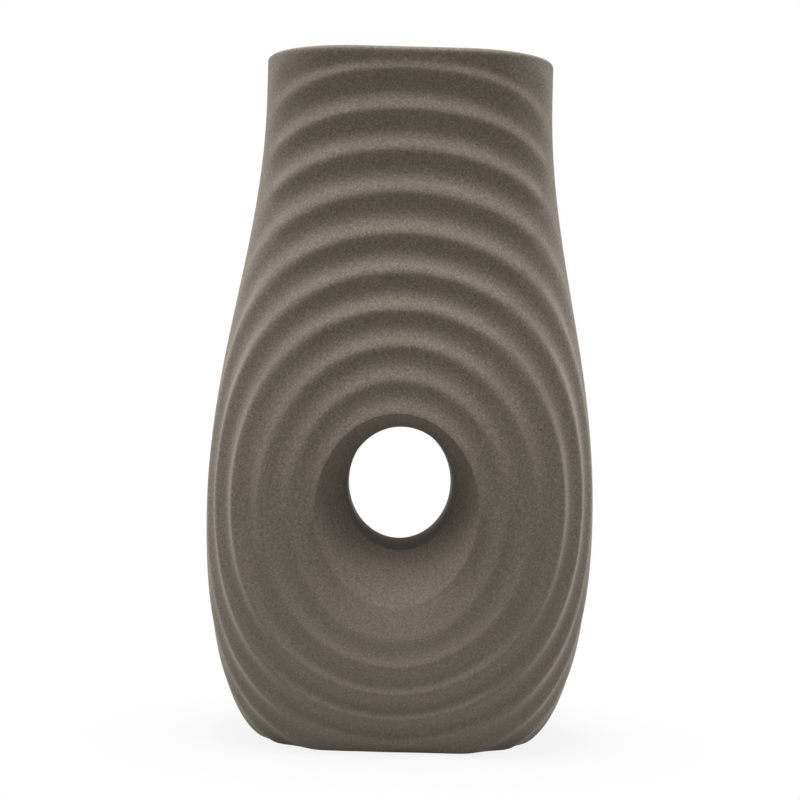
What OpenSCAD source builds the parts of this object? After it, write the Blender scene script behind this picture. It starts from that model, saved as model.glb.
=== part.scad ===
// Tall rounded vase with an oval window through its belly. Ripples spread from the
// window like rings on water: whole ovals low down, arches towards the mouth.
// The window looks along Y, the front faces -Y, and the vase stands on z = 0.

/* [Overall] */
// Height of the rim above the table
vase_h = 270; // [240:1:300]
// Gap between the table and the ceramic foot, which the felt pads fill
foot_gap = 0.8; // [0.4:0.1:1.2]

/* [Body widths, side to side] */
// Width at the foot
base_w = 96; // [92:1:110]
// Width at the belly
belly_w = 152; // [144:1:164]
// Width at the mouth
rim_w = 114; // [106:1:124]

/* [Body depths, front to back] */
// Depth at the foot
base_d = 88; // [84:1:96]
// Depth at the belly
belly_d = 104; // [100:1:112]
// Depth at the mouth
rim_d = 78; // [76:1:86]
// Radius of the four upright corners
corner_r = 37; // [33:1:37]

/* [Body heights] */
// Height of the widest place
belly_z = 91; // [84:1:98]
// Height where the neck stops narrowing
neck_z = 255; // [235:1:262]

/* [Walls] */
// Thickness of the ceramic wall at a crest
wall_t = 6.5; // [5.5:0.5:8]
// Radius that rounds both edges of the lip
lip_r = 1.8; // [1:0.1:2.5]
// Width of the ring that the foot stands on
foot_ring_w = 7; // [5:0.5:9]
// Height over which the inside corner above the floor is rounded
cove_h = 12; // [8:1:16]

/* [Window] */
// Width of the window at its narrowest
hole_w = 42.5; // [38:0.5:46]
// Height of the window at its narrowest
hole_h = 47.4; // [42:0.1:50]
// Height of the window's centre
hole_z = 100.7; // [98:0.1:103]
// Length of the straight passage between the front and back lips
passage_l = 72; // [66:1:78]
// How much wider the passage is than its lips, on each side
passage_step = 0.2; // [0.1:0.1:1.5]
// How straight the flare runs: at 1 it is a quarter of an ellipse, near 2 a cone
flare_power = 1.9; // [1:0.1:1.9]
// The same under the window
flare_power_below = 1.5; // [1:0.1:1.9]

/* [Ripples] */
// Width of the first oval crest, round the window's flare
first_crest_w = 62; // [60:1:68]
// Height of the first oval crest
first_crest_h = 73.4; // [72:0.1:78]
// Height of the first crest's centre
first_crest_z = 92.8; // [91:0.1:94]
// How far the crests are off centre, sideways
crest_x = -1.3; // [-3:0.1:3]
// Step from crest to crest, sideways
crest_step_w = 11.5; // [10.5:0.1:12.5]
// Step from crest to crest, up and down
crest_step_h = 12; // [11.5:0.1:13]
// How far the crests' centres would climb in all
crest_climb = 34.5; // [26:0.5:38]
// Number of crests over which they climb
climb_crests = 15; // [14:1:18]
// Depth of a full flute between two crests
flute_depth = 1.8; // [1.2:0.1:3]
// Depth of the first flute, beside the window
first_flute_depth = 0.9; // [0.4:0.1:1.5]
// Share of that depth which is missing under the window
first_flute_faded = 0.6; // [0:0.1:1]
// Number of crests over which the flutes reach their full depth
growing_crests = 4; // [2:1:6]
// How round the crests are: near 0 they are sharp, at 1 as round as the flutes
crest_softness = 0.45; // [0.1:0.05:1]
// Half-width of the plain band down each side
seam_band = 12; // [8:1:18]
// Width over which the flutes fade out beside that band
seam_fade = 18; // [10:1:24]

/* [Floor and feet] */
// Thickness of the floor slab
floor_t = 5; // [4:0.5:7]
// Thickness of the glaze that seals the inside
glaze_t = 0.4; // [0.3:0.1:0.6]
// Diameter of a felt pad
pad_d = 14; // [10:1:16]
// Thickness of a felt pad
pad_t = 2; // [1.5:0.1:3]
// Distance between pad centres, side to side
pad_spacing_x = 56; // [50:1:60]
// Distance between pad centres, front to back
pad_spacing_y = 44; // [36:1:46]

/* [Hidden] */
clay = "#7d756b";
glaze = "#b9b2a4";
felt = "#4a4642";

// Facets: rays to each edge of a shell, and rows to each flute
base_rays = 13;
side_rays = 13;
rim_rays = 14;
rows_per_flute = 4;
// Shares of the flare at which it has a row, from the window's lip outward
flare_shares = [1, 0.8, 0.6, 0.4, 0.2];
inner_flare_shares = [1, 0.6, 0.25];
// Shares of the way from the flare to the edge, or to the rounded corner above the floor, at
// which the smooth inside has a row, and shares of that corner's height
inner_shares = [0, 0.25, 0.5, 0.75];
cove_shares = [1, 0.35];
// Crest number behind which the flare ends inside
inner_start_share = 1.6;
// Rows keep this share of a crest step from an edge
edge_share = 0.12;
// Most of its wall that the rounding of a lip edge takes
lip_share = 0.45;
most_crests = 16;
halvings = 30;
pad_sides = 36;

floor_z = pad_t;
floor_top = floor_z + floor_t;
cove_top = floor_top + cove_h;
lip_z = vase_h - lip_r;
half_passage = passage_l / 2;

// Number forms
function clamp01(t) = max(0, min(1, t));
function smooth(t) = let (c = clamp01(t)) c * c * (3 - 2 * c);
function mix(a, b, t) = a + (b - a) * t;
function side_of(u) = u < 0 ? -1 : 1;
function last(list) = list[len(list) - 1];

// Size of the body at height z: a quarter ellipse from foot to belly, a wave up to the neck
function swell(z, base, belly, rim) =
    z < belly_z
    ? mix(base, belly, sqrt(max(0, 1 - pow((belly_z - z) / belly_z, 2))))
    : mix(belly, rim, (1 - cos(180 * clamp01((z - belly_z) / (neck_z - belly_z)))) / 2);

// Half-width, half-depth and corner radius of the outside at height z
function outer_size(z) =
    let (b = swell(z, base_d, belly_d, rim_d) / 2)
    [swell(z, base_w, belly_w, rim_w) / 2, b, min(corner_r, b)];
function inset(size, d) = [for (v = size) v - d];

// The same for the inside: the foot ring's inner edge below, the back of the wall above
foot_size = inset(outer_size(foot_gap), foot_ring_w);
function inner_size(z) =
    let (k = sqrt(1 - pow(1 - clamp01((z - floor_top) / cove_h), 2)))
    mix(foot_size, inset(outer_size(z), wall_t), k);

// Way round an outline from the middle of the front to the middle of a side
function reach(size) = size[0] + size[1] - (2 - PI / 2) * size[2];

// Point of an outline at share u of that way, negative to the left
function outline(u, size) =
    let (
        flat = size[0] - size[2],
        r = size[2],
        way = abs(u) * reach(size),
        turn = (way - flat) / r * 180 / PI
    )
    way <= flat ? [side_of(u) * way, -size[1]]
    : turn < 90 ? [side_of(u) * (flat + r * sin(turn)), r - size[1] - r * cos(turn)]
    : abs(u) < 1 ? [side_of(u) * size[0], r - size[1] + way - flat - r * PI / 2]
    : [side_of(u) * size[0], 0];
function place(u, size, z) = let (xy = outline(u, size)) [xy[0], xy[1], z];

// Ovals as centre x, centre z, half-width and half-height: the window and the nth crest
function window_oval(grow) = [0, hole_z, hole_w / 2 + grow, hole_h / 2 + grow];
function crest_oval(n) =
    [crest_x, first_crest_z + crest_climb * (1 - cos(180 * clamp01((n - 1) / climb_crests))) / 2,
     first_crest_w / 2 + (n - 1) * crest_step_w, first_crest_h / 2 + (n - 1) * crest_step_h];
function on_oval(oval, angle) = [oval[0] + oval[2] * cos(angle), oval[1] + oval[3] * sin(angle)];

// Number of the crest through a place at way s from the middle and height z
function crest_at(s, z, low = 1, high = most_crests, k = halvings) =
    let (n = (low + high) / 2, o = crest_oval(n))
    k == 0 ? n
    : pow((s - o[0]) / o[2], 2) + pow((z - o[1]) / o[3], 2) > 1 ? crest_at(s, z, n, high, k - 1)
    : crest_at(s, z, low, n, k - 1);

// Number of the crest that a downward angle meets at height z
function crest_down_to(z, angle, low = 1, high = most_crests, k = halvings) =
    let (n = (low + high) / 2)
    k == 0 ? n
    : on_oval(crest_oval(n), angle)[1] > z ? crest_down_to(z, angle, n, high, k - 1)
    : crest_down_to(z, angle, low, n, k - 1);

// Share of its depth that a flute has at crest number n: 0 on a crest, 1 midway
function flute_share(n) =
    let (e = crest_softness, across = sin(180 * n))
    (sqrt(across * across + e * e) - e) / (sqrt(1 + e * e) - e);

// Depth of the flute at that place
function flute(n, s, z) =
    let (o = crest_oval(n), first = first_flute_depth * (1 - first_flute_faded * smooth((o[1] - z) / o[3])))
    mix(first, flute_depth, smooth((n - 1) / growing_crests)) * flute_share(n)
    * smooth((reach(outer_size(z)) - abs(s) - seam_band) / seam_fade);

// Rays run from the window to the edge of a shell: share of the way round and height at the
// edge, kind of edge, last crest number and angle
RIM = 0;
SIDE = 1;
BASE = 2;
function ray(u, z, kind) =
    let (s = u * reach(outer_size(z)), n = crest_at(s, z), o = crest_oval(n))
    [u, z, kind, n, atan2((z - o[1]) / o[3], (s - o[0]) / o[2])];
function side_z(i) = mix(floor_top + cove_h / 4, lip_z, (i - 1) / (side_rays - 1));
rays = concat(
    [for (i = [0 : base_rays]) ray(mix(-1, 1, i / base_rays), foot_gap, BASE)],
    [for (i = [1 : side_rays - 1]) ray(1, side_z(i), SIDE)],
    [for (i = [0 : rim_rays]) ray(mix(1, -1, i / rim_rays), lip_z, RIM)],
    [for (i = [side_rays - 1 : -1 : 1]) ray(-1, side_z(i), SIDE)]);
count = len(rays);
function edge_flute(r) = flute(r[3], r[0] * reach(outer_size(r[1])), r[1]);

// Outside point on a ray at crest number n
function ripple_point(r, n) =
    let (p = on_oval(crest_oval(n), r[4]), size = outer_size(p[1]))
    place(p[0] / reach(size), inset(size, flute(n, p[0], p[1])), p[1]);

// Inside point there, with the wall grown by extra
function inner_point(r, n, extra) =
    let (p = on_oval(crest_oval(n), r[4]))
    place(p[0] / reach(outer_size(p[1])), inset(inner_size(p[1]), extra), p[1]);

// Flare that turns out of the passage into the point from share 1 to share 0
function flare_point(r, share, lip, n, extra, inside) =
    let (
        power = mix(flare_power, flare_power_below, smooth(-sin(r[4]))),
        lean = pow(sin(90 * share), power),
        stand = pow(cos(90 * share), power),
        p = on_oval(mix(lip, crest_oval(n), 1 - lean), r[4]),
        size = inside ? inset(inner_size(p[1]), extra) : outer_size(p[1]),
        xy = outline(p[0] / reach(outer_size(p[1])), size)
    )
    [mix(xy[0], p[0], lean), mix(-half_passage, xy[1], stand), p[1]];

// Outside of a shell along a ray, from the window's lip to the shell's edge
function outer_row(r) = concat(
    [for (f = flare_shares) flare_point(r, f, window_oval(0), 1, 0, false)],
    [for (n = [1 : 1 / rows_per_flute : r[3] - edge_share]) ripple_point(r, n)],
    [place(r[0], inset(outer_size(r[1]), edge_flute(r)), r[1])]);

// Crest numbers at which the inside has a row on that ray
function inner_rows(r) =
    let (stop = r[2] == BASE ? crest_down_to(cove_top, r[4]) : r[3])
    concat(
        [for (t = inner_shares) mix(inner_start_share, stop, t)],
        r[2] == BASE ? [for (t = cove_shares) crest_down_to(mix(floor_top, cove_top, t), r[4])] : []);

// Inside along the same ray, from the passage to the edge or the floor
function inner_row(r, extra) = concat(
    [for (f = inner_flare_shares)
        flare_point(r, f, window_oval(wall_t + extra), inner_start_share, extra, true)],
    [for (n = inner_rows(r)) inner_point(r, n, extra)],
    [r[2] == BASE ? place(r[0], inset(foot_size, extra), floor_top + extra)
                  : place(r[0], inset(inner_size(r[1]), extra), r[1])]);

// Rounded lip between the outside and the inside at the rim
function lip_arc(r) =
    let (d = edge_flute(r), across = min(lip_r, lip_share * (wall_t - d)), start = 1 - cos(45))
    [for (e = [[d + start * across, sin(45)], [d + across, 1],
               [wall_t - across, 1], [wall_t - start * across, sin(45)]])
        place(r[0], inset(outer_size(lip_z), e[0]), lip_z + e[1] * lip_r)];

// Triangles between two lists of point numbers that run side by side
function triangle(a, b, c) = a == b || b == c || a == c ? [] : [[a, b, c]];
function pick(list, k) = list[min(k, len(list) - 1)];
function stitch(a, b) =
    [for (k = [0 : max(len(a), len(b)) - 2])
        each concat(triangle(pick(b, k + 1), pick(a, k + 1), pick(a, k)),
                    triangle(pick(b, k), pick(b, k + 1), pick(a, k)))];
function flip(faces) = [for (f = faces) [f[0], f[2], f[1]]];
function mirrored(lists) = [for (l = lists) [for (p = l) [p[0], -p[1], p[2]]]];
function numbers(from, n) = [for (k = [0 : 1 : n - 1]) from + k];
function starts(lists) = [for (i = 0, t = 0; i < len(lists); t = t + len(lists[i]), i = i + 1) t];

// One moulded half: outside, lip, inside and the faces that meet the other half and the sleeve
module shell() {
    outer = [for (r = rays) outer_row(r)];
    arc = [for (r = rays) r[2] == RIM ? lip_arc(r) : []];
    inner = [for (r = rays) concat(inner_row(r, 0), r[2] == BASE ? [place(r[0], foot_size, r[1])] : [])];
    lists = [for (i = [0 : count - 1]) concat(outer[i], arc[i], inner[i])];
    first = starts(lists);
    outer_n = [for (i = [0 : count - 1]) numbers(first[i], len(outer[i]))];
    arc_n = [for (i = [0 : count - 1]) numbers(last(outer_n[i]) + 1, len(arc[i]))];
    inner_n = [for (i = [0 : count - 1]) numbers(last(outer_n[i]) + 1 + len(arc[i]), len(inner[i]))];
    edge_n = [for (i = [0 : count - 1]) concat([last(outer_n[i])], arc_n[i], [last(inner_n[i])])];
    polyhedron(
        points = [for (l = lists) each l],
        faces = [for (i = [0 : count - 1])
            let (j = (i + 1) % count)
            each concat(
                stitch(outer_n[i], outer_n[j]),
                stitch(edge_n[i], edge_n[j]),
                flip(stitch(inner_n[i], inner_n[j])),
                stitch([inner_n[i][0], outer_n[i][0]], [inner_n[j][0], outer_n[j][0]]))]);
}

module front_shell() {
    color(clay) shell();
}

module back_shell() {
    color(clay) mirror([0, 1, 0]) shell();
}

// Oval tube that lines the passage between the two shells' lips
module tunnel_sleeve() {
    color(clay)
        translate([0, half_passage, 0])
            rotate([90, 0, 0])
                linear_extrude(height = passage_l)
                    difference() {
                        polygon([for (r = rays) on_oval(window_oval(wall_t), r[4])]);
                        polygon([for (r = rays) on_oval(window_oval(passage_step), r[4])]);
                    }
}

// Floor inside the foot ring
module floor_slab() {
    front = [for (i = [0 : base_rays]) outline(rays[i][0], foot_size)];
    back = [for (i = [base_rays - 1 : -1 : 1]) [front[i][0], -front[i][1]]];
    color(clay)
        translate([0, 0, floor_z])
            linear_extrude(height = floor_t)
                polygon(concat(front, back));
}

// Coat of glaze over the whole inside, from the floor to the lip and round the sleeve
module liner_glaze() {
    clay_side = [for (r = rays) inner_row(r, 0)];
    free_side = [for (r = rays) inner_row(r, glaze_t)];
    lists = concat(clay_side, free_side, mirrored(clay_side), mirrored(free_side));
    first = starts(lists);
    // Point numbers of each layer's rays: the back shares the front's points at the sides
    layers = [for (k = [0 : 3])
        [for (i = [0 : count - 1])
            let (n = len(clay_side[i]), own = first[k * count + i], front = first[(k % 2) * count + i])
            concat(numbers(own, n - 1), [n - 1 + (abs(rays[i][0]) == 1 ? front : own)])]];
    // Faces between two layers at the rays' starts or ends
    function bridge(a, b, i, j, end) =
        let (e = [for (l = [layers[a][i], layers[b][i], layers[a][j], layers[b][j]]) end ? last(l) : l[0]])
        stitch([e[0], e[1]], [e[2], e[3]]);
    color(glaze)
        polyhedron(
            points = [for (l = lists) each l],
            faces = [for (i = [0 : count - 1])
                let (j = (i + 1) % count)
                each concat(
                    stitch(layers[0][i], layers[0][j]),
                    flip(stitch(layers[1][i], layers[1][j])),
                    flip(stitch(layers[2][i], layers[2][j])),
                    stitch(layers[3][i], layers[3][j]),
                    bridge(1, 3, i, j, false),
                    bridge(2, 0, i, j, false),
                    rays[i][2] == RIM && rays[j][2] == RIM
                        ? concat(bridge(0, 1, i, j, true), bridge(3, 2, i, j, true)) : [],
                    rays[i][2] == BASE && rays[j][2] == BASE
                        ? concat(bridge(0, 2, i, j, true), bridge(3, 1, i, j, true)) : [])]);
}

module felt_pad(side, end) {
    color(felt)
        translate([side * pad_spacing_x / 2, end * pad_spacing_y / 2, 0])
            cylinder(d = pad_d, h = pad_t, $fn = pad_sides);
}

front_shell();
back_shell();
tunnel_sleeve();
floor_slab();
liner_glaze();
felt_pad(-1, -1);  // felt_pad_front_left
felt_pad(1, -1);  // felt_pad_front_right
felt_pad(-1, 1);  // felt_pad_back_left
felt_pad(1, 1);  // felt_pad_back_right
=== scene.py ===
import math

import bmesh
import bpy
import numpy as np
from mathutils import Matrix, Vector


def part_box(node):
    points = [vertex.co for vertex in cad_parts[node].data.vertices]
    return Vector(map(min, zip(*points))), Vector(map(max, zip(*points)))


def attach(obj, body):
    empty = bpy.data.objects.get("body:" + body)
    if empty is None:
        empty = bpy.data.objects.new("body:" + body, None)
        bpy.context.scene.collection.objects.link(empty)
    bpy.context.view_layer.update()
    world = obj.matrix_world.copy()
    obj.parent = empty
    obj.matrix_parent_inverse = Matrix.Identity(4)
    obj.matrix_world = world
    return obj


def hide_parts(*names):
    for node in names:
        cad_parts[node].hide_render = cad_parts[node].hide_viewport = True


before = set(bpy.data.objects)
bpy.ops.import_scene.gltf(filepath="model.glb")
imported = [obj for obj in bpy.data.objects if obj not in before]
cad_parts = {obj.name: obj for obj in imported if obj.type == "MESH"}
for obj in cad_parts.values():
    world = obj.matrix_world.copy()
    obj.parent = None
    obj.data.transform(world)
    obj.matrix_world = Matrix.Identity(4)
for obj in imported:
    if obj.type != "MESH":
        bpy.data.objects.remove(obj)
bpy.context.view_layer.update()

bl_info = {
    "name": "Rippled Window Vase",
    "version": (1, 0, 0),
    "blender": (4, 5, 0),
    "location": "3D View > Sidebar > Vase",
    "description": "Stoneware vase with an oval window and ripples, lit by soft white panels",
    "category": "Add Mesh",
}

MM = 0.001
SHELL_LOW, SHELL_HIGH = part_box("front_shell")
SLEEVE_LOW, SLEEVE_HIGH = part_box("tunnel_sleeve")
SLAB_LOW, SLAB_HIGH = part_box("floor_slab")
PADS = ("felt_pad_front_left", "felt_pad_front_right", "felt_pad_back_left", "felt_pad_back_right")
PAD_LOW, PAD_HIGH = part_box(PADS[0])
MIRROR = (1, -1, 1)

# Lines of points from the window to the foot, to each side and to the rim
SHELL_RAYS = (86, 68, 96)
GLAZE_RAYS = (60, 44, 72)
# Rows of points across the parts of a half, and across the glaze
LIP_ROWS = 5
FLARE_ROWS = 25
RIPPLE_ROWS = 212
EDGE_STEPS = 6
INNER_ROWS = 32
GLAZE_ROWS = 34
# Rows along and behind the sleeve's passage and over its edges, and columns round it
SLEEVE_ROWS = 22
SLEEVE_BACK_ROWS = 5
SLEEVE_EDGE_ROWS = 4
SLEEVE_COLUMNS = 240
# Rows of the glaze along the sleeve, across the floor and over its edge at the rim
GLAZE_TUBE_ROWS = 14
GLAZE_FLOOR_ROWS = 12
GLAZE_EDGE_ROWS = 4
# Columns round half of the floor, and round a pad with the rows of its faces and edges
FLOOR_COLUMNS = 97
PAD_COLUMNS = 96
PAD_FACE_ROWS = 8
PAD_EDGE_ROWS = 5
# Power that draws the rays to a side closer together low down
SIDE_CROWDING = 1.4
# The inside: crest from which it follows the wall, its rows in the flare, share of the flare's turn
# at which they end, and power that draws the other rows closer together towards the edge
INNER_CREST = 1.6
INNER_FLARE_ROWS = 6
INNER_FLARE_END = 0.15
INNER_CROWDING = 1.8
# The search for crest numbers: highest number, halvings, and slack when two numbers are compared
LAST_CREST = 24.0
HALVINGS = 40
CREST_SLACK = 1e-6
# Most of the wall's thickness that one rounded edge of the rim may take
LIP_SHARE = 0.45
# Points this close are welded, and shorter edges are dissolved
WELD = 0.004 * MM
SLIVER = 0.002 * MM
# Angles in degrees above which an edge stays sharp
CLAY_SHARP = 50
SOFT_SHARP = 60
# How much paler the loose fibres of the felt are
LOOSE_FIBRE = 2.2

# Width of the camera's sensor in millimetres
SENSOR_WIDTH = 36
# The table: radii of its rings in metres, columns round it, its colour under the light, and its
# share of plain white close to the foot, where less white leaves painted shade besides the cast
# shadow
TABLE_RINGS = (0, 0.1, 0.3, 1, 4, 12)
TABLE_COLUMNS = 64
TABLE_GREY = (0.4, 0.4, 0.4, 1)
WHITE = (1, 1, 1, 1)
NEAR_WHITE = 0.88
# Place that the panels face, and the place and side of each panel, in metres
LIT_PLACE = (0, 0, 0.14)
PANELS = (
    ("top", (0, -0.1, 1.3), 0.4),
    ("high_front", (0, -0.3, 1.3), 0.4),
    ("high_left", (-0.35, -0.2, 1.2), 0.4),
    ("left", (-0.9, 0.1, 0.35), 0.5),
    ("right", (0.9, 0.1, 0.35), 0.5),
    ("rear_left", (-0.45, 0.25, 0.12), 0.22),
    ("rear_right", (0.45, 0.25, 0.12), 0.22),
)


def length(name, description, default):
    """A length in metres."""
    return bpy.props.FloatProperty(
        name=name,
        description=description,
        default=default,
        unit="LENGTH",
        subtype="DISTANCE",
        precision=5,
    )


def number(name, description, default):
    """A plain number."""
    return bpy.props.FloatProperty(name=name, description=description, default=default, precision=4)


def angle(name, description, degrees):
    """An angle, given in degrees and kept in radians."""
    return bpy.props.FloatProperty(
        name=name,
        description=description,
        default=math.radians(degrees),
        unit="ROTATION",
        subtype="ANGLE",
    )


def power(name, description, default):
    """The power of a lamp in watts."""
    return bpy.props.FloatProperty(
        name=name, description=description, default=default, min=0, unit="POWER"
    )


def colour(name, description, default):
    """A colour in linear values."""
    return bpy.props.FloatVectorProperty(
        name=name, description=description, default=default, size=3, min=0, max=1, subtype="COLOR"
    )


class VaseBody(bpy.types.PropertyGroup):
    """Sizes of the body and its wall."""

    top: length("Rim height", "Height of the rim above the table", SHELL_HIGH.z)
    foot: length("Foot height", "Gap under the ceramic, which the felt pads fill", SHELL_LOW.z)
    base_width: length("Foot width", "Width at the foot, side to side", 96 * MM)
    belly_width: length("Belly width", "Width at the belly, side to side", 2 * SHELL_HIGH.x)
    rim_width: length("Mouth width", "Width at the mouth, side to side", 114 * MM)
    base_depth: length("Foot depth", "Depth at the foot, front to back", 88 * MM)
    belly_depth: length("Belly depth", "Depth at the belly, front to back", -2 * SHELL_LOW.y)
    rim_depth: length("Mouth depth", "Depth at the mouth, front to back", 78 * MM)
    corner: length("Corner radius", "Radius of the four upright corners", 37 * MM)
    belly: length("Belly height", "Height of the widest place", 91 * MM)
    neck: length("Neck height", "Height where the body stops narrowing", 255 * MM)
    wall: length("Wall", "Thickness of the wall at a crest", 6.5 * MM)
    lip: length("Lip radius", "Radius that rounds both edges of the rim", 1.8 * MM)
    ring: length("Foot ring", "Width of the ring that the foot stands on", 7 * MM)
    ring_edge: length("Foot edge", "Radius that rounds the foot ring", 0.9 * MM)
    cove: length("Cove", "Height of the rounded corner above the floor", 12 * MM)


class VaseWindow(bpy.types.PropertyGroup):
    """Sizes of the window and of the passage behind it."""

    width: length("Width", "Width between the lips", 42.5 * MM)
    height: length("Height", "Height between the lips", 47.4 * MM)
    centre: length("Centre", "Height of the middle above the table", 100.7 * MM)
    passage: length(
        "Passage", "Length from the front lip to the back lip", SLEEVE_HIGH.y - SLEEVE_LOW.y
    )
    step: length("Step", "How much wider the passage is than its lips, on each side", 0.2 * MM)
    edge: length("Edge", "Radius that softens each lip", 0.2 * MM)
    sleeve_edge: length("Sleeve edge", "Radius that softens each end of the sleeve", 0.3 * MM)
    straight: number("Straightness", "At 1 the flare is a quarter ellipse, near 2 a cone", 1.9)


class VaseRipples(bpy.types.PropertyGroup):
    """The crests, which are ovals round the window, and the flutes between them."""

    first_width: length("First width", "Width of the first crest, round the flare", 62 * MM)
    first_height: length("First height", "Height of the first crest", 73.4 * MM)
    first_centre: length("First centre", "Height of the first crest's centre", 92.8 * MM)
    offset: length("Offset", "How far the crests are off centre, sideways", -1.3 * MM)
    step_width: length("Side step", "Step from crest to crest, sideways", 11.5 * MM)
    step_height: length("Upright step", "Step from crest to crest, up and down", 12 * MM)
    climb: length("Climb", "How far the crests' centres would climb in all", 34.5 * MM)
    climbing: number("Climbing crests", "Number of crests over which they climb", 15)
    lift: length("Neck lift", "How much further the crests of the neck have climbed", 1.4 * MM)
    neck: number("Neck crest", "Crest at which that lift begins", 6)
    lifting: number("Lifting crests", "Number of crests over which it grows", 2)
    pinch: length("Pinch", "How much narrower crests two and three are, on each side", 1.7 * MM)
    pinched: number("Pinched crests", "Number of crests over which they are narrower", 3)
    depth: length("Depth", "Depth of a full flute", 1.8 * MM)
    first_depth: length("First depth", "Depth of the first flute, beside the window", 0.9 * MM)
    faded: number("Faded share", "How much of the first depth is missing under the window", 1)
    growing: number("Growing crests", "Number of crests over which the flutes reach full depth", 4)
    bowl: length("Bowl", "How deep the first crest lies under the window", 3.5 * MM)
    bowl_crests: number("Bowl crests", "Number of crests over which the bowl comes up again", 2)
    softness: number("Softness", "How round the crests are; near 0 they are sharp", 0.45)
    band: length("Plain band", "Half-width of the plain band down each side", 12 * MM)
    fade: length("Fade", "Width over which the flutes fade out beside that band", 18 * MM)
    rim_fade: length("Rim fade", "Height over which the flutes fade out under the rim", 8 * MM)


class VaseFittings(bpy.types.PropertyGroup):
    """Sizes of the floor, the glaze and the felt pads."""

    slab_low: length("Floor underside", "Height of the floor's underside", SLAB_LOW.z)
    slab_high: length("Floor top", "Height of the floor's top", SLAB_HIGH.z)
    slab_edge: length("Floor edge", "Radius that softens the floor's edges", 0.3 * MM)
    glaze: length("Glaze", "Thickness of the glaze inside", 0.4 * MM)
    pad_width: length("Pad width", "Diameter of a felt pad", PAD_HIGH.x - PAD_LOW.x)
    pad_height: length("Pad height", "Thickness of a felt pad", PAD_HIGH.z - PAD_LOW.z)
    pad_edge: length("Pad edge", "Radius that softens a pad's edges", 0.45 * MM)
    pad_ruffle: length("Pad ruffle", "How far the cut edge of a pad is uneven", 0.12 * MM)


class VaseFinish(bpy.types.PropertyGroup):
    """Colours of the clay, the glaze and the felt."""

    clay: colour("Clay", "Bare matte stoneware", (0.187, 0.159, 0.1275))
    dark_grain: colour("Dark grain", "Darkest grains of the clay", (0.098, 0.083, 0.065))
    # Also the colour toward which the painted light low down on the clay is blended
    pale_grain: colour("Pale grain", "Palest grains of the clay", (0.320, 0.280, 0.232))
    glaze: colour("Glaze", "Satin glaze of the inside", (0.165, 0.139, 0.112))
    felt: colour("Felt", "Felt under the foot", (0.055, 0.048, 0.042))


class VaseStage(bpy.types.PropertyGroup):
    """The camera and the soft white panels round the vase."""

    distance: length("Distance", "Distance of the camera from the vase's axis", 800 * MM)
    eye: length("Eye height", "Height of the camera above the table", 134 * MM)
    lens: number("Lens", "Focal length in millimetres on a full-frame sensor", 89.73)
    turn: angle("Turn", "How far round the vase the camera stands", 0.343)
    roll: angle("Roll", "How far the camera is rolled", 1.448)
    shift_right: number("Shift right", "Shift of the picture, as a share of its width", -0.0028)
    shift_up: number("Shift up", "Shift of the picture upward, as a share of its width", 0.0022)
    top_power: power("Top panel", "Power of the panel high above the mouth", 13.2)
    high_front_power: power("High front panel", "Power of the high panel in front", 4.4)
    high_left_power: power("High left panel", "Power of the high panel on the left", 4.6)
    left_power: power("Left panel", "Power of the low panel on the left", 0.7)
    right_power: power("Right panel", "Power of the low panel on the right", 1.1)
    rear_left_power: power("Rear left panel", "Power of the low panel at the rear left", 1.8)
    rear_right_power: power("Rear right panel", "Power of the low panel at the rear right", 1.85)
    tent: number("Tent", "Strength of the white light from all round", 0.25)


def mix(a, b, share):
    """a at share 0, b at share 1, and in proportion between."""
    return a + (b - a) * share


def smooth(share):
    """S curve from 0 to 1: three squares less two cubes."""
    t = np.clip(share, 0, 1)
    return t * t * (3 - 2 * t)


def wave(share):
    """Half a cosine wave from 0 to 1."""
    return (1 - np.cos(math.pi * np.clip(share, 0, 1))) / 2


def quarter(first, corner, last, steps):
    """Rows of a rounded edge: a quarter circle, stretched to leave first towards corner for last.

    A row is first, plus the way to the corner times the sine of the turn, plus the way from there
    to last times 1 less its cosine.
    """
    turn = np.linspace(0, math.pi / 2, steps)[:, None]
    first, corner, last = (p[:, None] for p in (first, corner, last))
    return first + (corner - first) * np.sin(turn) + (last - corner) * (1 - np.cos(turn))


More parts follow.
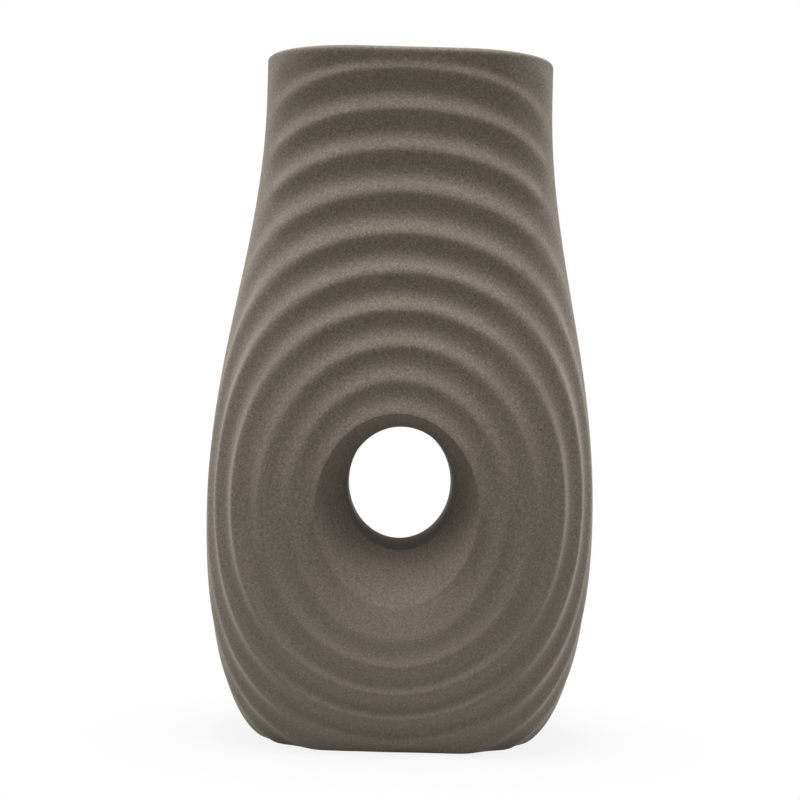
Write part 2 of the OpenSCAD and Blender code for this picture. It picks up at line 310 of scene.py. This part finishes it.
class Form:
    """The vase's form: its sizes, and the functions that turn a place on it into a point."""

    def __init__(self, scene):
        self.body = scene.vase_body
        self.window = scene.vase_window
        self.ripples = scene.vase_ripples
        self.fittings = scene.vase_fittings
        self.lip_z = self.body.top - self.body.lip
        self.foot_z = self.body.foot + self.body.ring_edge

    def swell(self, z, base, belly, rim):
        """Size at height z: a quarter ellipse up to the belly, then half a wave up to the neck."""
        body = self.body
        below = np.sqrt(np.clip(1 - ((body.belly - z) / body.belly) ** 2, 0, 1))
        above = wave((z - body.belly) / (body.neck - body.belly))
        return np.where(z < body.belly, mix(base, belly, below), mix(belly, rim, above))

    def outer_size(self, z):
        """Half-width, half-depth and corner radius of the outside at height z, stacked in front."""
        body, z = self.body, np.asarray(z, float)
        half_width = self.swell(z, body.base_width, body.belly_width, body.rim_width) / 2
        half_depth = self.swell(z, body.base_depth, body.belly_depth, body.rim_depth) / 2
        return np.stack([half_width, half_depth, np.minimum(body.corner, half_depth)])

    def inner_size(self, z):
        """The same for the inside: a quarter ellipse leads from the foot ring into the wall."""
        z = np.asarray(z, float)
        foot = self.outer_size(np.full_like(z, self.body.foot)) - self.body.ring
        rise = np.clip((z - self.fittings.slab_high) / self.body.cove, 0, 1)
        return mix(foot, self.outer_size(z) - self.body.wall, np.sqrt(1 - (1 - rise) ** 2))

    def reach(self, size):
        """Way round an outline from the middle of the front to the middle of a side."""
        return size[0] + size[1] - (2 - math.pi / 2) * size[2]

    def on_wall(self, share, size, z):
        """Points at a share of the reach: a flat front, a quarter circle, then a flat side.

        The share runs from -1 at the left side to 1 at the right, and y is zero at both ends.
        """
        share, z = np.broadcast_arrays(share, z)
        half_width, half_depth, corner = size
        flat = half_width - corner
        way = np.abs(share) * self.reach(size)
        turn = np.clip((way - flat) / corner, 0, math.pi / 2)
        x = np.where(way < flat, way, flat + corner * np.sin(turn))
        beyond = np.clip(way - flat - corner * math.pi / 2, 0, None)
        y = np.minimum(corner * (1 - np.cos(turn)) + beyond - half_depth, 0)
        return np.stack([np.copysign(x, share), np.where(np.abs(share) >= 1, 0, y), z], axis=-1)

    def lip_oval(self, grow):
        """Centre x and z, half-width and half-height of the window's lip, grown by a length."""
        window = self.window
        return 0.0, window.centre, window.width / 2 + grow, window.height / 2 + grow

    def crest_oval(self, n):
        """The same for crest number n: even steps outward, and centres that climb on a wave.

        The neck's crests climb a little further, and those next to the first are narrower.
        """
        ripples = self.ripples
        climb = ripples.climb * wave((n - 1) / ripples.climbing)
        climb = climb + ripples.lift * smooth((n - ripples.neck) / ripples.lifting)
        pinch = ripples.pinch * np.sin(math.pi * np.clip((n - 1) / ripples.pinched, 0, 1))
        half_width = ripples.first_width / 2 + (n - 1) * ripples.step_width - pinch
        half_height = ripples.first_height / 2 + (n - 1) * ripples.step_height
        return ripples.offset, ripples.first_centre + climb, half_width, half_height

    def crest_at(self, way, z):
        """Number of the crest through a place; 1.5 lies midway between the first two."""

        def inside(n):
            x, centre, half_width, half_height = self.crest_oval(n)
            return ((way - x) / half_width) ** 2 + ((z - centre) / half_height) ** 2 > 1

        return self.halve(inside, np.shape(way))

    def crest_down_to(self, z, turn):
        """Number of the crest that a downward angle meets at height z."""
        return self.halve(lambda n: on_oval(self.crest_oval(n), turn)[1] > z, np.shape(turn))

    def halve(self, holds, shape):
        """Crest number up to which a test holds, by halving the range in which it changes."""
        low, high = np.ones(shape), np.full(shape, LAST_CREST)
        for _ in range(HALVINGS):
            middle = (low + high) / 2
            held = holds(middle)
            low, high = np.where(held, middle, low), np.where(held, high, middle)
        return (low + high) / 2

    def flute(self, n, way, z, size):
        """Depth of the surface under the crests.

        It is the root of sine squared plus softness squared, less softness. It grows over the
        first crests, where it is least under the window, and fades out under the rim and beside
        the plain band down each side. Under the window the first crests lie deeper, as in a bowl.
        """
        ripples, e = self.ripples, self.ripples.softness
        hollow = (np.sqrt(np.sin(math.pi * n) ** 2 + e * e) - e) / (math.sqrt(1 + e * e) - e)
        _, centre, _, half_height = self.crest_oval(n)
        below = smooth((centre - z) / half_height)
        first = ripples.first_depth * (1 - ripples.faded * below)
        full = mix(first, ripples.depth, smooth((n - 1) / ripples.growing))
        bowl = ripples.bowl * below * np.clip(1 - (n - 1) / ripples.bowl_crests, 0, 1) ** 2
        beside = smooth((self.reach(size) - np.abs(way) - ripples.band) / ripples.fade)
        return bowl + full * hollow * beside * smooth((self.lip_z - z) / ripples.rim_fade)

    def rippled_size(self, n, way, z):
        """Size of the outside at height z, less the depth of the flute there."""
        size = self.outer_size(z)
        return size - self.flute(n, way, z, size)

    def outside(self, rays, shares):
        """Rippled rows from the first crest (share 0) to the edge (share 1)."""
        n = mix(1.0, rays.last[:, None], shares[None, :])
        way, z = on_oval(self.crest_oval(n), rays.turn[:, None])
        share = np.where(shares >= 1, rays.share[:, None], way / self.reach(self.outer_size(z)))
        return self.on_wall(share, self.rippled_size(n, way, z), z)

    def flare(self, rays, shares, oval, n, size_at):
        """Rows of the trumpet from the passage (share 1) to crest n (share 0).

        The oval grows by 1 less the sine of the share, and the depth goes from the lip to the body
        by its cosine, each raised to the flare's straightness. The body's size comes from
        size_at, which is given the way round and the height.
        """
        turn, straight = shares * math.pi / 2, self.window.straight
        lean, stand = np.sin(turn) ** straight, np.cos(turn) ** straight
        grown = [mix(a, b, 1 - lean) for a, b in zip(oval, self.crest_oval(n))]
        way, z = on_oval(grown, rays.turn[:, None])
        points = self.on_wall(way / self.reach(self.outer_size(z)), size_at(way, z), z)
        points[..., 0] = mix(points[..., 0], way, lean)
        points[..., 1] = mix(-self.window.passage / 2, points[..., 1], stand)
        return points

    def inside(self, rays, extra, rows):
        """Smooth rows of the inside, from the passage to the edge or floor.

        The wall is thicker by extra. The first rows turn out of the passage, and the rest lie
        closer together towards the edge.
        """
        flared = self.flare(
            rays,
            np.linspace(1, INNER_FLARE_END, INNER_FLARE_ROWS),
            self.lip_oval(self.body.wall + extra),
            INNER_CREST,
            lambda way, z: self.inner_size(z) - extra,
        )
        floor = self.fittings.slab_high + extra
        stop = np.minimum(self.crest_down_to(floor, rays.turn), rays.last)[:, None]
        n = mix(INNER_CREST, stop, 1 - (1 - np.linspace(0, 1, rows)) ** INNER_CROWDING)
        way, z = on_oval(self.crest_oval(n), rays.turn[:, None])
        is_end = (np.arange(rows) == rows - 1)[None, :]
        at_foot = is_end & rays.to_foot[:, None]
        at_edge = at_foot | is_end & (stop >= rays.last[:, None] - CREST_SLACK)
        share = np.where(at_edge, rays.share[:, None], way / self.reach(self.outer_size(z)))
        size = self.inner_size(np.where(at_foot, self.fittings.slab_high, z)) - extra
        return np.concatenate([flared, self.on_wall(share, size, z)], axis=1)


class Rays:
    """Lines from the window to the edges of a half: the foot, the right side, the rim, the left.

    Each keeps the share of the way round and the height of its end, and the crest number and
    angle there.
    """

    def __init__(self, form, counts, side_low, rim_z):
        """Counts are the rays to the foot, to each side and to the rim."""
        to_foot, to_side, to_rim = counts
        side_z = mix(side_low, rim_z, np.linspace(0, 1, to_side + 2)[1:-1] ** SIDE_CROWDING)
        front, rim, side = np.linspace(-1, 1, to_foot), np.linspace(1, -1, to_rim), np.ones(to_side)
        self.share = np.concatenate([front, side, rim, -side])
        self.z = np.concatenate(
            [np.full(to_foot, form.foot_z), side_z, np.full(to_rim, rim_z), side_z[::-1]]
        )
        edge = np.repeat(["foot", "side", "rim", "side"], [to_foot, to_side, to_rim, to_side])
        self.to_foot, self.to_rim = edge == "foot", edge == "rim"
        self.size = form.outer_size(self.z)
        way = self.share * form.reach(self.size)
        self.last = form.crest_at(way, self.z)
        x, centre, half_width, half_height = form.crest_oval(self.last)
        self.turn = np.arctan2((self.z - centre) / half_height, (way - x) / half_width)
        self.flute = form.flute(self.last, way, self.z, self.size)


def on_oval(oval, turn):
    """Way and height of the point of an oval at an angle."""
    return oval[0] + oval[2] * np.cos(turn), oval[1] + oval[3] * np.sin(turn)


def shell_edge(form, rays):
    """Rows over the edge of a half, from its outside to its inside, without the two end rows.

    The rim and the foot ring are rounded by a quarter circle at each edge, and a side is cut
    straight.
    """
    body, top, foot = form.body, form.body.top, form.body.foot

    def at(size, z):
        return form.on_wall(rays.share, size, z)

    outer, inner = rays.size - rays.flute, rays.size - body.wall
    start, end = at(outer, rays.z), at(form.inner_size(rays.z), rays.z)
    across = np.minimum(body.lip, LIP_SHARE * (body.wall - rays.flute))
    over = quarter(start, at(outer, top), at(outer - across, top), EDGE_STEPS)
    into = quarter(at(inner + across, top), at(inner, top), end, EDGE_STEPS)
    rim = np.concatenate([over, into], axis=1)

    foot_size, edge = form.outer_size(np.full_like(rays.z, foot)), body.ring_edge
    outer, inner = foot_size - rays.flute, foot_size - body.ring
    under = quarter(start, at(outer, foot), at(outer - edge, foot), EDGE_STEPS)
    back = quarter(at(inner + edge, foot), at(inner, foot), at(inner, rays.z), EDGE_STEPS)
    ring = np.concatenate([under, back], axis=1)

    side = mix(start[:, None], end[:, None], np.linspace(0, 1, 2 * EDGE_STEPS)[:, None])
    rows = np.where(rays.to_foot[:, None, None], ring, side)
    return np.where(rays.to_rim[:, None, None], rim, rows)[:, 1:-1]


def half_shell(form):
    """Points of the front half as a grid that closes both ways, rays by rows.

    The rows run from the flange on the sleeve over the softened lip, the flare, the ripples and
    the edge, and back along the inside.
    """
    window, edge = form.window, form.window.edge
    rays = Rays(form, SHELL_RAYS, form.foot_z, form.lip_z)
    face = -window.passage / 2

    def ring(grow, y):
        way, z = on_oval(form.lip_oval(grow), rays.turn)
        return np.stack([way, np.full_like(way, y), z], axis=-1)[:, None]

    turns = np.radians(np.linspace(90, 180, LIP_ROWS))[:-1]
    lip = [ring(edge * (1 + math.cos(t)), face - edge * (1 - math.sin(t))) for t in turns]
    lip_share = edge / (form.body.belly_depth / 2 + face)
    first = math.acos(lip_share ** (1 / window.straight)) / (math.pi / 2)
    flared = form.flare(
        rays,
        first * np.linspace(1, 0, FLARE_ROWS)[:-1],
        form.lip_oval(0),
        1.0,
        lambda way, z: form.rippled_size(1.0, way, z),
    )
    outside = form.outside(rays, np.linspace(0, 1, RIPPLE_ROWS))
    to_ring = form.on_wall(rays.share, form.inner_size(rays.z), rays.z)[:, None]
    inside = form.inside(rays, 0, INNER_ROWS)[:, ::-1]
    rows = [*lip, flared, outside, shell_edge(form, rays), to_ring, inside]
    return np.concatenate(rows, axis=1)


def grid_faces(columns, rows, round_columns, round_rows):
    """Point numbers of the faces of a grid that may close either way."""
    number_of = np.arange(columns * rows).reshape(columns, rows)
    if round_columns:
        number_of = np.concatenate([number_of, number_of[:1]], axis=0)
    if round_rows:
        number_of = np.concatenate([number_of, number_of[:, :1]], axis=1)
    corners = (number_of[:-1, :-1], number_of[1:, :-1], number_of[1:, 1:], number_of[:-1, 1:])
    return np.stack(corners, axis=-1).reshape(-1, 4)


def closed_mesh(name, grids, sharp_degrees):
    """Welds grids of points into one solid skin.

    Each grid comes with whether it closes round its columns and round its rows.
    """
    points = np.concatenate([g.reshape(-1, 3) for g, _, _ in grids])
    starts = np.cumsum([0] + [g.shape[0] * g.shape[1] for g, _, _ in grids])
    faces = [grid_faces(*g.shape[:2], a, b) + s for (g, a, b), s in zip(grids, starts)]
    mesh = bpy.data.meshes.new(name)
    mesh.from_pydata(points.tolist(), [], np.concatenate(faces).tolist())
    skin = bmesh.new()
    skin.from_mesh(mesh)
    bmesh.ops.remove_doubles(skin, verts=skin.verts, dist=WELD)
    bmesh.ops.dissolve_degenerate(skin, edges=skin.edges, dist=SLIVER)
    bmesh.ops.recalc_face_normals(skin, faces=skin.faces)
    if skin.calc_volume(signed=True) < 0:
        bmesh.ops.reverse_faces(skin, faces=skin.faces)
    skin.to_mesh(mesh)
    open_edges = sum(1 for e in skin.edges if not e.is_manifold)
    skin.free()
    if open_edges:
        raise RuntimeError(f"{name} has {open_edges} open edges")
    mesh.shade_smooth()
    mesh.set_sharp_from_angle(angle=math.radians(sharp_degrees))
    return mesh


def add_piece(name, mesh, finish, node):
    """Puts a finished mesh into the scene in place of a node of the frame."""
    mesh.materials.append(finish)
    piece = bpy.data.objects.new(name, mesh)
    bpy.context.scene.collection.objects.link(piece)
    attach(piece, "root")
    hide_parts(node)


class Wire:
    """What leaves a node's socket: arithmetic on it adds Math nodes."""

    def __init__(self, maker, socket):
        self.maker, self.socket = maker, socket

    def math(self, operation, first, second):
        return self.maker.node("ShaderNodeMath", {"operation": operation}, {0: first, 1: second})

    def __add__(self, other):
        return self.math("ADD", self, other)

    __radd__ = __add__

    def __sub__(self, other):
        return self.math("SUBTRACT", self, other)

    def __rsub__(self, other):
        return self.math("SUBTRACT", other, self)

    def __mul__(self, other):
        return self.math("MULTIPLY", self, other)

    __rmul__ = __mul__

    def at_least(self, other):
        return self.math("MAXIMUM", self, other)


class Maker:
    """Makes the nodes of one material or of the world."""

    def __init__(self, owner):
        owner.use_nodes = True
        self.tree = owner.node_tree
        self.tree.nodes.clear()

    def node(self, kind, settings, inputs, output=0):
        """Adds a node: its settings, then the values or wires of its sockets; gives one output."""
        made = self.tree.nodes.new(kind)
        for name, value in settings.items():
            setattr(made, name, value)
        for name, value in inputs.items():
            if isinstance(value, Wire):
                self.tree.links.new(value.socket, made.inputs[name])
            else:
                made.inputs[name].default_value = value
        return Wire(self, made.outputs[output]) if made.outputs else None

    def place(self):
        """Place on the vase, in metres."""
        return self.node("ShaderNodeTexCoord", {}, {}, "Object")

    def noise(self, per_metre, detail, roughness):
        """Smooth noise round 0.5, with so many grains to a metre."""
        sockets = {"Scale": per_metre, "Detail": detail, "Roughness": roughness}
        return self.node("ShaderNodeTexNoise", {}, {"Vector": self.place(), **sockets}, "Fac")

    def rise(self, value, low, high):
        """0 below low, 1 above high, and an S curve between."""
        sockets = {"Value": value, "From Min": low, "From Max": high}
        return self.node("ShaderNodeMapRange", {"interpolation_type": "SMOOTHSTEP"}, sockets)

    def blend(self, share, first, second):
        """Mixes two colours, by the numbers that the Mix node gives its colour sockets."""
        first, second = (c if isinstance(c, Wire) else (*c, 1) for c in (first, second))
        sockets = {0: share, 6: first, 7: second}
        return self.node("ShaderNodeMix", {"data_type": "RGBA"}, sockets, 2)

    def bump(self, height, strength, distance):
        """Normal of a surface raised by a height."""
        sockets = {"Height": height, "Strength": strength, "Distance": distance}
        return self.node("ShaderNodeBump", {}, sockets)

    def coat(self, sockets):
        """Shows a Principled surface with these sockets."""
        surface = self.node("ShaderNodeBsdfPrincipled", {}, sockets)
        self.node("ShaderNodeOutputMaterial", {}, {"Surface": surface})


def stoneware(maker, finish):
    """Bare matte clay: sandy dark and pale grains, slow clouds from firing, and painted light that
    makes it paler low down.
    """
    fine = maker.noise(per_metre=2100, detail=2, roughness=0.6)
    sand = maker.noise(per_metre=1100, detail=2, roughness=0.55)
    cloud = maker.noise(per_metre=32, detail=3, roughness=0.55)
    height = maker.node("ShaderNodeSeparateXYZ", {}, {"Vector": maker.place()}, "Z")
    tone = fine * 0.5 + sand * 0.5
    dark = (1 - maker.rise(tone, low=0.34, high=0.52)) * 0.75
    pale = maker.rise(tone, low=0.5, high=0.68) * 0.65
    clouded = (1 - maker.rise(cloud, low=0.3, high=0.7)) * 0.10
    # Painted light: below 0.10 m the clay is blended toward the pale colour, so the lower body
    # looks more lit
    painted_light_low_down = (1 - maker.rise(height, low=0.02, high=0.10)) * 0.26
    base = maker.blend(dark, finish.clay, finish.dark_grain)
    base = maker.blend(pale, base, finish.pale_grain)
    base = maker.blend(clouded, base, finish.dark_grain)
    base = maker.blend(painted_light_low_down, base, finish.pale_grain)
    maker.coat(
        {
            "Base Color": base,
            "Roughness": 0.74 + tone * 0.16,
            "Specular IOR Level": 0.3,
            "Normal": maker.bump(tone, strength=0.7, distance=0.2 * MM),
        }
    )


def satin_glaze(maker, finish):
    """Thin satin glaze: a little deeper than the clay, with iron specks and an orange-peel skin."""
    speck = maker.noise(per_metre=1300, detail=2, roughness=0.6)
    pool = maker.noise(per_metre=140, detail=2, roughness=0.5)
    dark = maker.rise(speck, low=0.6, high=0.72) * 0.55
    pale = maker.rise(pool, low=0.4, high=0.75) * 0.18
    base = maker.blend(dark, finish.glaze, finish.dark_grain)
    base = maker.blend(pale, base, finish.pale_grain)
    maker.coat(
        {
            "Base Color": base,
            "Roughness": 0.34 + speck * 0.12,
            "Specular IOR Level": 0.5,
            "Normal": maker.bump(pool, strength=0.3, distance=0.15 * MM),
        }
    )


def pressed_felt(maker, finish):
    """Pressed wool felt: matted fibres with a soft sheen."""
    fibre = maker.noise(per_metre=3200, detail=4, roughness=0.75)
    mat = maker.noise(per_metre=700, detail=3, roughness=0.6)
    tone = fibre * 0.6 + mat * 0.4
    loose = [min(1, LOOSE_FIBRE * c) for c in finish.felt]
    maker.coat(
        {
            "Base Color": maker.blend(maker.rise(tone, low=0.38, high=0.68), finish.felt, loose),
            "Roughness": 0.95,
            "Specular IOR Level": 0.1,
            "Sheen Weight": 0.3,
            "Normal": maker.bump(tone, strength=0.9, distance=0.25 * MM),
        }
    )


def made_once(fill, scene):
    """The material that a function fills with nodes, made when it is first asked for."""
    material = bpy.data.materials.get(fill.__name__)
    if not material:
        material = bpy.data.materials.new(fill.__name__)
        fill(Maker(material), scene.vase_finish)
    return material


class VASE_OT_halves(bpy.types.Operator):
    """Make the rippled front and back halves of the body"""

    bl_idname = "vase.halves"
    bl_label = "Rippled Halves"

    def execute(self, context):
        finish = made_once(stoneware, context.scene)
        points = half_shell(Form(context.scene))
        for name, node, side in (("front_half", "front_shell", 1), ("back_half", "back_shell", -1)):
            mesh = closed_mesh(name, [(points * (1, side, 1), True, True)], CLAY_SHARP)
            add_piece(name, mesh, finish, node)
        return {"FINISHED"}


class VASE_OT_passage(bpy.types.Operator):
    """Make the oval tube that lines the window's passage"""

    bl_idname = "vase.passage"
    bl_label = "Passage Tube"

    def execute(self, context):
        form = Form(context.scene)
        half, step, edge = form.window.passage / 2, form.window.step, form.window.sleeve_edge
        turn = np.linspace(0, 2 * math.pi, SLEEVE_COLUMNS, endpoint=False)[:, None]
        t = np.radians(np.linspace(0, 90, SLEEVE_EDGE_ROWS))
        widened, inset = step + edge * (1 - np.sin(t)), edge * (1 - np.cos(t))
        along = np.linspace(edge - half, half - edge, SLEEVE_ROWS)[1:-1]
        back = np.linspace(half, -half, SLEEVE_BACK_ROWS)
        wall = np.full_like(back, form.body.wall)
        grow = np.concatenate([widened, np.full_like(along, step), widened[::-1], wall])
        y = np.concatenate([inset - half, along, half - inset[::-1], back])
        way, z = on_oval(form.lip_oval(grow), turn)
        points = np.stack([way, np.broadcast_to(y, way.shape), z], axis=-1)
        mesh = closed_mesh("passage_tube", [(points, True, True)], CLAY_SHARP)
        finish = made_once(stoneware, context.scene)
        add_piece("passage_tube", mesh, finish, "tunnel_sleeve")
        return {"FINISHED"}


class VASE_OT_glaze(bpy.types.Operator):
    """Make the coat of glaze over the whole inside"""

    bl_idname = "vase.glaze"
    bl_label = "Glaze Lining"

    def execute(self, context):
        form = Form(context.scene)
        floor, glaze = form.fittings.slab_high, form.fittings.glaze
        # The lowest ray to a side ends a fifth of the way up the cove
        side_low = floor + form.body.cove / 5
        scale = np.linspace(1, 0, GLAZE_FLOOR_ROWS)
        inward = np.stack([scale, scale, np.ones_like(scale)], axis=-1)
        between = np.linspace(0, 1, GLAZE_TUBE_ROWS)[1:-1, None]
        grids, ends = [], []
        for extra, rim_z in ((0, form.lip_z), (glaze, form.lip_z - glaze)):
            rays = Rays(form, GLAZE_RAYS, side_low, rim_z)
            front = form.inside(rays, extra, GLAZE_ROWS)
            first, end = front[:, :1], front[:, -1]
            tube = mix(first, first * MIRROR, between)
            both = np.concatenate([front[:, ::-1], tube, front * MIRROR], axis=1)
            base = end[rays.to_foot]
            loop = np.concatenate([base, (base * MIRROR)[-2:0:-1]])
            grids += [(both, True, False), (loop[:, None] * inward, True, False)]
            ends.append(end[rays.to_rim])
        clay, free = ends
        corner = np.concatenate([free[:, :2], clay[:, 2:]], axis=1)
        rim = quarter(free, corner, clay, GLAZE_EDGE_ROWS)
        grids += [(rim, False, False), (rim * MIRROR, False, False)]
        mesh = closed_mesh("glaze_lining", grids, SOFT_SHARP)
        finish = made_once(satin_glaze, context.scene)
        add_piece("glaze_lining", mesh, finish, "liner_glaze")
        return {"FINISHED"}


class VASE_OT_floor(bpy.types.Operator):
    """Make the floor inside the foot ring"""

    bl_idname = "vase.floor"
    bl_label = "Floor"

    def execute(self, context):
        form = Form(context.scene)
        low, high = form.fittings.slab_low, form.fittings.slab_high
        share = np.linspace(-1, 1, FLOOR_COLUMNS)
        size = form.outer_size(np.full_like(share, form.body.foot)) - form.body.ring
        front = form.on_wall(share, size, np.zeros_like(share))
        loop = np.concatenate([front, front[-2:0:-1] * MIRROR])
        # From the middle of a face to its softened edge
        inset = np.array([1, 0.75, 0.5, 0.25, 0.01, 0.003, 0])
        curve = form.fittings.slab_edge * np.array([0, 0, 0, 0, 0, 0.3, 1])
        scale = 1 - np.concatenate([inset, inset[::-1]])
        points = loop[:, None] * np.stack([scale, scale, 0 * scale], axis=-1)
        points[..., 2] = np.concatenate([low + curve, high - curve[::-1]])
        mesh = closed_mesh("foot_floor", [(points, True, False)], CLAY_SHARP)
        finish = made_once(stoneware, context.scene)
        add_piece("foot_floor", mesh, finish, "floor_slab")
        return {"FINISHED"}


class VASE_OT_pads(bpy.types.Operator):
    """Make the four felt pads under the foot"""

    bl_idname = "vase.pads"
    bl_label = "Felt Pads"

    def execute(self, context):
        fittings = Form(context.scene).fittings
        finish = made_once(pressed_felt, context.scene)
        radius, height, edge = fittings.pad_width / 2, fittings.pad_height, fittings.pad_edge
        turn = np.linspace(0, 2 * math.pi, PAD_COLUMNS, endpoint=False)[:, None]
        t = np.radians(np.linspace(0, 90, PAD_EDGE_ROWS))
        flat = np.linspace(0, radius - edge, PAD_FACE_ROWS)[:-1]
        side, curve = radius - edge + edge * np.sin(t), edge * (1 - np.cos(t))
        r = np.concatenate([flat, side, side[::-1], flat[::-1]])
        z = np.concatenate([0 * flat, curve, height - curve[::-1], height + 0 * flat])
        for node in PADS:
            low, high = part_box(node)
            centre = (low + high) / 2
            # Three waves round the cut edge, which start elsewhere on each pad
            phase = 40 * centre.x + 70 * centre.y
            waves = np.sin(9 * turn + phase) + np.sin(14 * turn + 2 * phase)
            waves = waves + np.sin(23 * turn - phase)
            ruffled = r * (1 - fittings.pad_ruffle / radius * (1 + waves / 3) / 2)
            x, y = centre.x + ruffled * np.cos(turn), centre.y + ruffled * np.sin(turn)
            points = np.stack([x, y, np.broadcast_to(z, x.shape)], axis=-1)
            name = node.replace("felt_pad", "pad")
            mesh = closed_mesh(name, [(points, True, False)], SOFT_SHARP)
            add_piece(name, mesh, finish, node)
        return {"FINISHED"}


def add_panel(name, place, size, watts):
    """A soft square panel of light that faces the vase."""
    data = bpy.data.lights.new(name, "AREA")
    data.shape, data.size, data.energy = "SQUARE", size, watts
    lamp = bpy.data.objects.new(name, data)
    lamp.location = place
    lamp.rotation_euler = (Vector(LIT_PLACE) - Vector(place)).to_track_quat("-Z", "Y").to_euler()
    bpy.context.scene.collection.objects.link(lamp)


def seen_directly(maker):
    """1 for rays from the camera, mirrors and glass, which see the white background."""
    kinds = ("Is Camera Ray", "Is Glossy Ray", "Is Transmission Ray")
    camera, glossy, through = (maker.node("ShaderNodeLightPath", {}, {}, kind) for kind in kinds)
    return camera.at_least(glossy).at_least(through)


def add_camera(scene, stage):
    """Stands the camera round the vase, level and a little rolled."""
    data = bpy.data.cameras.new("camera")
    data.lens, data.sensor_width = stage.lens, SENSOR_WIDTH
    data.shift_x, data.shift_y = stage.shift_right, stage.shift_up
    data.clip_start, data.clip_end = 0.05, 50
    camera = bpy.data.objects.new("camera", data)
    back = Matrix.Translation((0, -stage.distance, stage.eye))
    upright = Matrix.Rotation(math.pi / 2, 4, "X") @ Matrix.Rotation(stage.roll, 4, "Z")
    camera.matrix_world = Matrix.Rotation(-stage.turn, 4, "Z") @ back @ upright
    scene.collection.objects.link(camera)
    scene.camera = camera


def add_table(scene):
    """A wide white table that keeps a faint shade round the foot: its cast shadow, and painted
    shade where less plain white is mixed in close to the foot.
    """
    radius = np.array(TABLE_RINGS)
    turn = np.linspace(0, 2 * math.pi, TABLE_COLUMNS, endpoint=False)[:, None]
    points = np.stack([radius * np.cos(turn), radius * np.sin(turn), 0 * radius * turn], axis=-1)
    faces = grid_faces(*points.shape[:2], True, False)[:, ::-1]
    mesh = bpy.data.meshes.new("table")
    mesh.from_pydata(points.reshape(-1, 3).tolist(), [], faces.tolist())
    material = bpy.data.materials.new("white_table")
    maker = Maker(material)
    away = maker.node("ShaderNodeVectorMath", {"operation": "LENGTH"}, {0: maker.place()}, "Value")
    shade = maker.node("ShaderNodeBsdfDiffuse", {}, {"Color": TABLE_GREY})
    glow = maker.node("ShaderNodeEmission", {}, {"Color": WHITE, "Strength": 1.0})
    # Painted shade: close to the foot the white glow is thinned, so the floor there is greyer even
    # where it is lit
    white = NEAR_WHITE + maker.rise(away, low=0.05, high=0.15) * (1 - NEAR_WHITE)
    share = seen_directly(maker) * white
    surface = maker.node("ShaderNodeMixShader", {}, {0: share, 1: shade, 2: glow})
    maker.node("ShaderNodeOutputMaterial", {}, {"Surface": surface})
    mesh.materials.append(material)
    table = bpy.data.objects.new("table", mesh)
    scene.collection.objects.link(table)


def add_world(scene, stage):
    """Dim even light from all round, behind which the background is seen as white."""
    world = bpy.data.worlds.new("white_tent")
    scene.world = world
    maker = Maker(world)
    strength = stage.tent + seen_directly(maker) * (1 - stage.tent)
    sky = maker.node("ShaderNodeBackground", {}, {"Color": WHITE, "Strength": strength})
    maker.node("ShaderNodeOutputWorld", {}, {"Surface": sky})


class VASE_OT_stage(bpy.types.Operator):
    """Make the camera, the white table, the backdrop and the soft panels of light"""

    bl_idname = "vase.stage"
    bl_label = "Stage"

    def execute(self, context):
        scene, stage = context.scene, context.scene.vase_stage
        scene.view_settings.view_transform = "Standard"
        add_camera(scene, stage)
        add_table(scene)
        add_world(scene, stage)
        for name, place, size in PANELS:
            add_panel(f"{name}_panel", place, size, getattr(stage, f"{name}_power"))
        return {"FINISHED"}


class VASE_PT_panel(bpy.types.Panel):
    """Sizes of the vase and buttons that make it"""

    bl_idname = "VASE_PT_panel"
    bl_label = "Rippled Window Vase"
    bl_space_type = "VIEW_3D"
    bl_region_type = "UI"
    bl_category = "Vase"

    def draw(self, context):
        for key in GROUPS:
            box = self.layout.box()
            group = getattr(context.scene, key)
            for name in group.bl_rna.properties.keys():
                if name not in ("rna_type", "name"):
                    box.prop(group, name)
        for operator in OPERATORS:
            self.layout.operator(operator.bl_idname)


GROUPS = {
    "vase_body": VaseBody,
    "vase_window": VaseWindow,
    "vase_ripples": VaseRipples,
    "vase_fittings": VaseFittings,
    "vase_finish": VaseFinish,
    "vase_stage": VaseStage,
}
OPERATORS = (
    VASE_OT_halves,
    VASE_OT_passage,
    VASE_OT_glaze,
    VASE_OT_floor,
    VASE_OT_pads,
    VASE_OT_stage,
)


def register():
    for group in (*GROUPS.values(), *OPERATORS, VASE_PT_panel):
        bpy.utils.register_class(group)
    for key, group in GROUPS.items():
        setattr(bpy.types.Scene, key, bpy.props.PointerProperty(type=group))


def unregister():
    for key in GROUPS:
        delattr(bpy.types.Scene, key)
    for group in reversed((*GROUPS.values(), *OPERATORS, VASE_PT_panel)):
        bpy.utils.unregister_class(group)


def main():
    """Registers the add-on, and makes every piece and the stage."""
    register()
    bpy.ops.vase.halves()
    bpy.ops.vase.passage()
    bpy.ops.vase.glaze()
    bpy.ops.vase.floor()
    bpy.ops.vase.pads()
    bpy.ops.vase.stage()
    bpy.context.view_layer.update()


if __name__ == "__main__":
    main()
